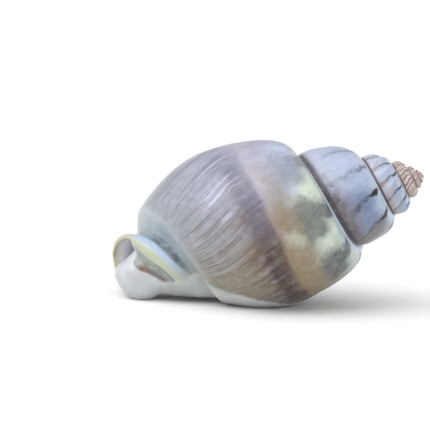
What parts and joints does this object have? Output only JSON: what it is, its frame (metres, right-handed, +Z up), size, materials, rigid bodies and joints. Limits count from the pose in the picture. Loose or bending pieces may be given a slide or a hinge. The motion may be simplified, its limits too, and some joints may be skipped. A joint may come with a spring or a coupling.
{
  "type": "nassa snail shell",
  "caption": "Empty dextral sea-snail shell with a stepped, ribbed spire, a smooth swollen body whorl, an oval aperture and a short notched canal, lying aperture down.",
  "frame": {"origin": "middle of the footprint's bounding box, on the floor that the shell rests on", "axes": "+X towards the apex of the spire, +Y towards the outer lip's side, +Z up from the floor; the aperture faces down"},
  "size_m": [0.028, 0.017, 0.0151],
  "materials": {
    "shell": "polished shell, lilac-grey with brown and cream bands"
  },
  "bodies": {
    "root": {"shell": "shell"}
  },
  "joints": []
}
